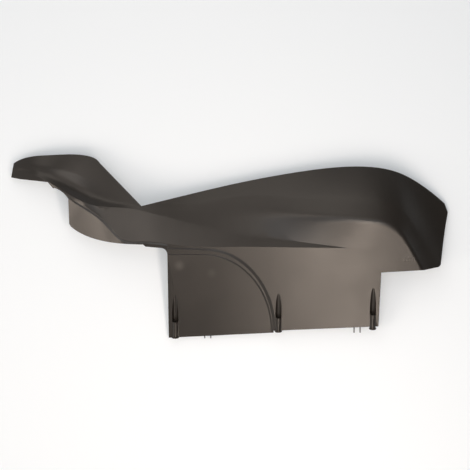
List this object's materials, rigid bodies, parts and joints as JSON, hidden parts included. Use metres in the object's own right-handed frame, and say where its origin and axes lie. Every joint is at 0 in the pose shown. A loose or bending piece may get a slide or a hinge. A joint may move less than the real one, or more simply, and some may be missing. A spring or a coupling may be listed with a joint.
{
  "type": "scooter lower side panel",
  "caption": "Moulded plastic lower side panel for a scooter: domed wing with a fading crease, upswept nose, flat flap with a recessed bay and screw tubes along its lower edge.",
  "frame": {"origin": "centre of the panel's plan box, on the surface that it lies on", "axes": "+X from the nose to the tail, +Y from the screw edge to the wing's edge, +Z out of the outer face; the panel lies with its outer face up"},
  "size_m": [0.7254, 0.3062, 0.0802],
  "materials": {
    "grained_plastic": "fine moulded grain, satin"
  },
  "bodies": {
    "root": {"side_panel": "grained_plastic"}
  },
  "joints": []
}
